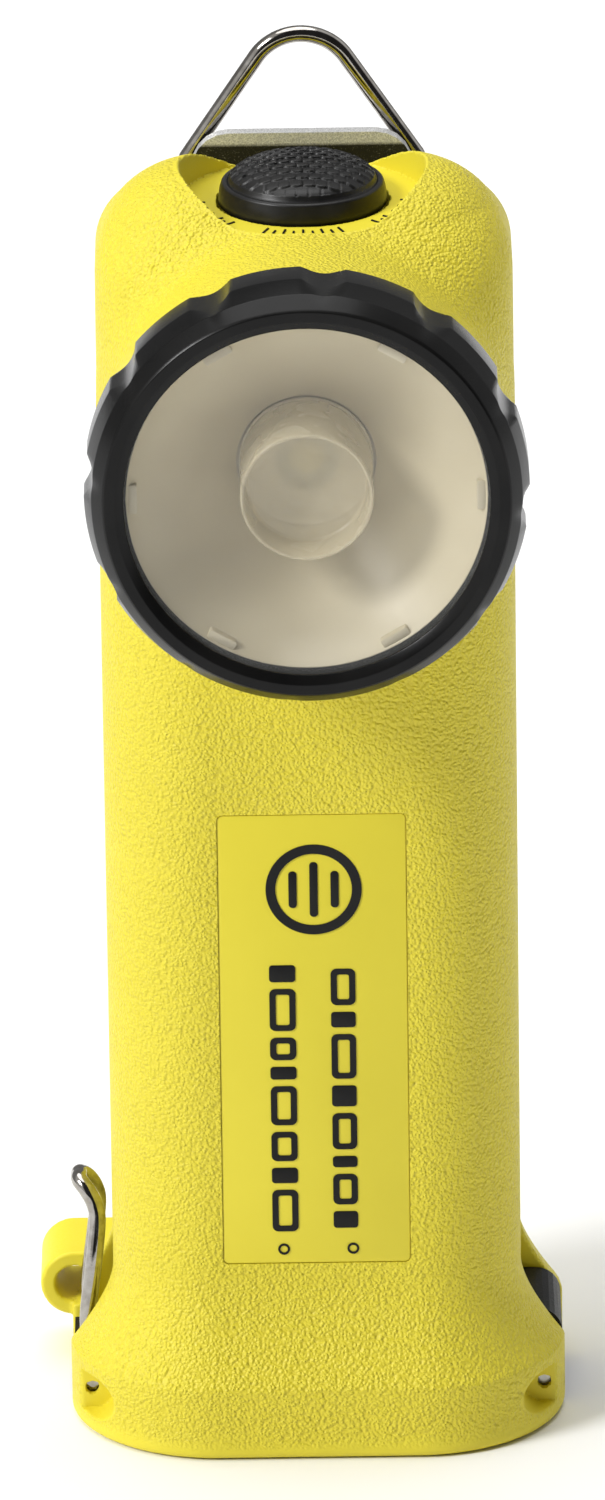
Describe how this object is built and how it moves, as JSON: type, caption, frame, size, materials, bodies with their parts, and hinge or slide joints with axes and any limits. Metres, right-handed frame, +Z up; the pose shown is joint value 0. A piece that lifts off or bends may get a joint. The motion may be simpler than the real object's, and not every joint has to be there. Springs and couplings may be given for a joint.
{
  "type": "firefighter flashlight",
  "caption": "Right-angle fire-service hand torch: hollow body with flared base, round lamp head, top push button, rear clip with carrying ring, bottom battery door and side wire bail.",
  "frame": {"origin": "centre of the torch's underside, on the battery door's flat bottom face", "axes": "+Z up along the body, -Y out of the lamp head, +X to the door's hinge side"},
  "size_m": [0.0712, 0.0784, 0.1851],
  "materials": {
    "yellow_nylon": "moulded leather grain",
    "black_nylon": "moulded satin",
    "bezel_black": "satin",
    "rubber": "moulded scales",
    "seal_rubber": "smooth",
    "polished_steel": "polished wire",
    "plain_steel": "plain",
    "black_steel": "grainy black coat",
    "aluminium": "machined",
    "brass": "plain",
    "reflector_cream": "satin cream",
    "clear_lens": "clear",
    "light_pipe": "translucent",
    "circuit_board": "solder mask",
    "emitter": "phosphor",
    "cell_can": "printed sleeve without marks",
    "red_sleeve": "plain",
    "black_sleeve": "plain"
  },
  "bodies": {
    "housing": {"main_housing": "yellow_nylon", "hinge_block": "black_nylon", "hinge_pin": "plain_steel", "reflector": "reflector_cream", "light_pipe": "light_pipe", "led_emitter": "emitter", "led_board": "circuit_board", "heat_sink": "aluminium", "sink_ring": "brass", "driver_board": "circuit_board", "driver_coil": "black_steel", "head_seal": "seal_rubber", "switch_guide": "black_nylon", "switch_body": "black_nylon", "switch_spring": "plain_steel", "lead_positive": "red_sleeve", "lead_negative": "black_sleeve", "clip_plate": "black_steel", "clip_screw_1": "plain_steel", "clip_screw_2": "plain_steel", "clip_screw_3": "plain_steel", "clip_screw_4": "plain_steel", "clip_pin": "plain_steel", "clip_spring": "plain_steel", "bay_insulator": "circuit_board", "bay_contact_1": "brass", "bay_contact_2": "brass", "battery_carrier": "black_nylon", "cell_1": "cell_can", "cell_2": "cell_can", "cell_3": "cell_can", "cell_4": "cell_can"},
    "button": {"switch_button": "rubber", "switch_plunger": "plain_steel"},
    "lens_carrier": {"lens": "clear_lens", "lens_gasket": "seal_rubber"},
    "head_ring": {"bezel": "bezel_black"},
    "carrying_ring": {"d_ring": "polished_steel"},
    "clip_arm": {"belt_clip": "black_steel"},
    "door": {"battery_door": "black_nylon", "door_gasket": "seal_rubber", "door_contact": "brass", "contact_screw_1": "plain_steel", "contact_screw_2": "plain_steel", "contact_spring_1": "plain_steel", "contact_spring_2": "plain_steel"},
    "bail": {"wire_bail": "polished_steel"}
  },
  "joints": [
    {"name": "button_press", "type": "slide", "parent": "housing", "child": "button", "axis": [0, 0, -1], "range_m": [0, 0.0015], "stiffness_N_per_m": 1200, "springref_m": -0.001, "deforming": ["switch_spring"]},
    {"name": "bezel_travel", "type": "slide", "parent": "housing", "child": "lens_carrier", "axis": [0, -1, 0], "range_m": [0, 0.003]},
    {"name": "bezel_turn", "type": "hinge", "parent": "lens_carrier", "child": "head_ring", "pos_m": [0, -0.049, 0.1445], "axis": [0, -1, 0], "range_deg": [0, 720]},
    {"name": "ring_swing", "type": "hinge", "parent": "housing", "child": "carrying_ring", "pos_m": [0, 0.0272, 0.1645], "axis": [1, 0, 0], "range_deg": [-120, 12]},
    {"name": "clip_open", "type": "hinge", "parent": "housing", "child": "clip_arm", "pos_m": [0, 0.027, 0.156], "axis": [1, 0, 0], "range_deg": [0, 15], "stiffness_Nm_per_rad": 0.8, "springref_deg": -11.46},
    {"name": "door_swing", "type": "hinge", "parent": "housing", "child": "door", "pos_m": [0.0306, 0, 0.0054], "axis": [0, -1, 0], "range_deg": [0, 100]},
    {"name": "bail_swing", "type": "hinge", "parent": "housing", "child": "bail", "pos_m": [-0.0306, 0, 0.0054], "axis": [0, -1, 0], "range_deg": [0, 75]}
  ],
  "couplings": [
    {"joint": "bezel_travel", "follows": "bezel_turn", "m_per_rad": 0.00023873}
  ]
}
